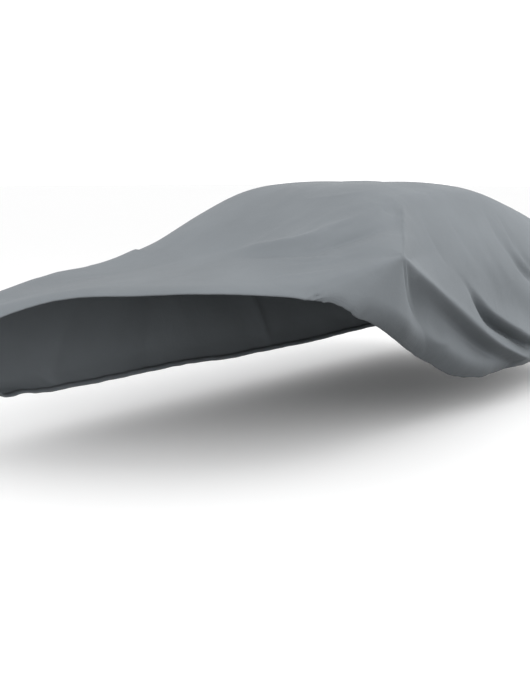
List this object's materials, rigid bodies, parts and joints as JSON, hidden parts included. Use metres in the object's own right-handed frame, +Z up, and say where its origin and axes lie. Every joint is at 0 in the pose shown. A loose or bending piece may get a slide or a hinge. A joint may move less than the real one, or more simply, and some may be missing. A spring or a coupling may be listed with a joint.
{
  "type": "fitted car cover",
  "caption": "Fitted grey cloth cover for a saloon car, drawn back off one front corner, hanging over roof and mirrors to a low gathered hem.",
  "frame": {"origin": "under the top of the roof, on the cloth's inner face, in the middle plane", "axes": "+Y towards the rear, +X towards the side whose front corner is drawn back, +Z up"},
  "size_m": [2.0713, 4.8626, 1.2682],
  "materials": {
    "cloth": "plain grey woven polyester, faint satin sheen"
  },
  "bodies": {
    "root": {"cover": "cloth"}
  },
  "joints": []
}
